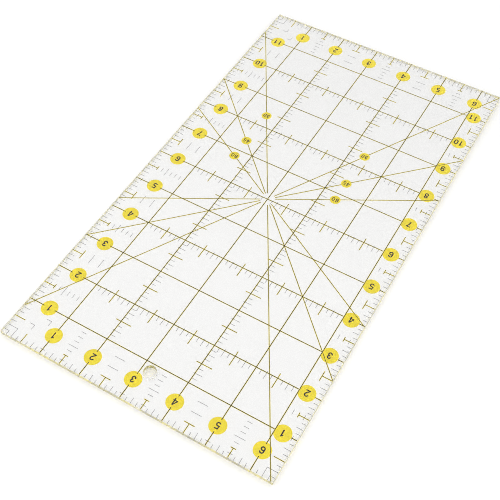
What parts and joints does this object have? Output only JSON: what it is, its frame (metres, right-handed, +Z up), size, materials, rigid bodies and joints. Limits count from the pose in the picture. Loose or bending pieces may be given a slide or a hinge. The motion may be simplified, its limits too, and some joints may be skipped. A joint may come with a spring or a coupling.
{
  "type": "quilting ruler",
  "caption": "Clear acrylic quilting ruler with a printed inch grid, angle lines, numbered discs and a hanging hole, for guiding a rotary cutter.",
  "frame": {"origin": "middle of the underside, on the surface that the printed ink rests on", "axes": "+X across the ruler, from the zero side to the side with the extra half inch; +Y along the ruler, from the zero end with the hanging hole to the far end; +Z up through the sheet, towards the reader"},
  "size_m": [0.165, 0.3048, 0.0031],
  "materials": {
    "clear_acrylic": "clear polished cast acrylic with cut edges",
    "yellow_ink": "opaque screen-printed yellow ink, gloss where it is seen through the sheet",
    "black_ink": "opaque screen-printed black ink, gloss where it is seen through the sheet"
  },
  "bodies": {
    "root": {"acrylic_sheet": "clear_acrylic", "length_lines_yellow": "yellow_ink", "cross_lines_yellow": "yellow_ink", "angle_30_lines_yellow": "yellow_ink", "angle_45_lines_yellow": "yellow_ink", "angle_60_lines_yellow": "yellow_ink", "number_discs_zero_end": "yellow_ink", "number_discs_far_end": "yellow_ink", "number_discs_left": "yellow_ink", "number_discs_right": "yellow_ink", "angle_label_discs": "yellow_ink", "half_inch_edge_marks_yellow": "yellow_ink", "half_inch_grid_marks_yellow": "yellow_ink", "length_lines_black": "black_ink", "cross_lines_black": "black_ink", "angle_30_lines_black": "black_ink", "angle_45_lines_black": "black_ink", "angle_60_lines_black": "black_ink", "numbers_zero_end": "black_ink", "numbers_far_end": "black_ink", "numbers_left": "black_ink", "numbers_right": "black_ink", "angle_label_numbers": "black_ink", "half_inch_edge_marks_black": "black_ink", "half_inch_grid_marks_black": "black_ink", "edge_ticks_zero_end": "black_ink", "edge_ticks_far_end": "black_ink", "edge_ticks_left": "black_ink", "edge_ticks_right": "black_ink", "ticks_on_length_lines": "black_ink", "ticks_on_cross_lines": "black_ink", "margin_dashes_ends": "black_ink", "margin_dashes_sides": "black_ink", "corner_squares": "black_ink", "corner_steps": "black_ink"}
  },
  "joints": []
}
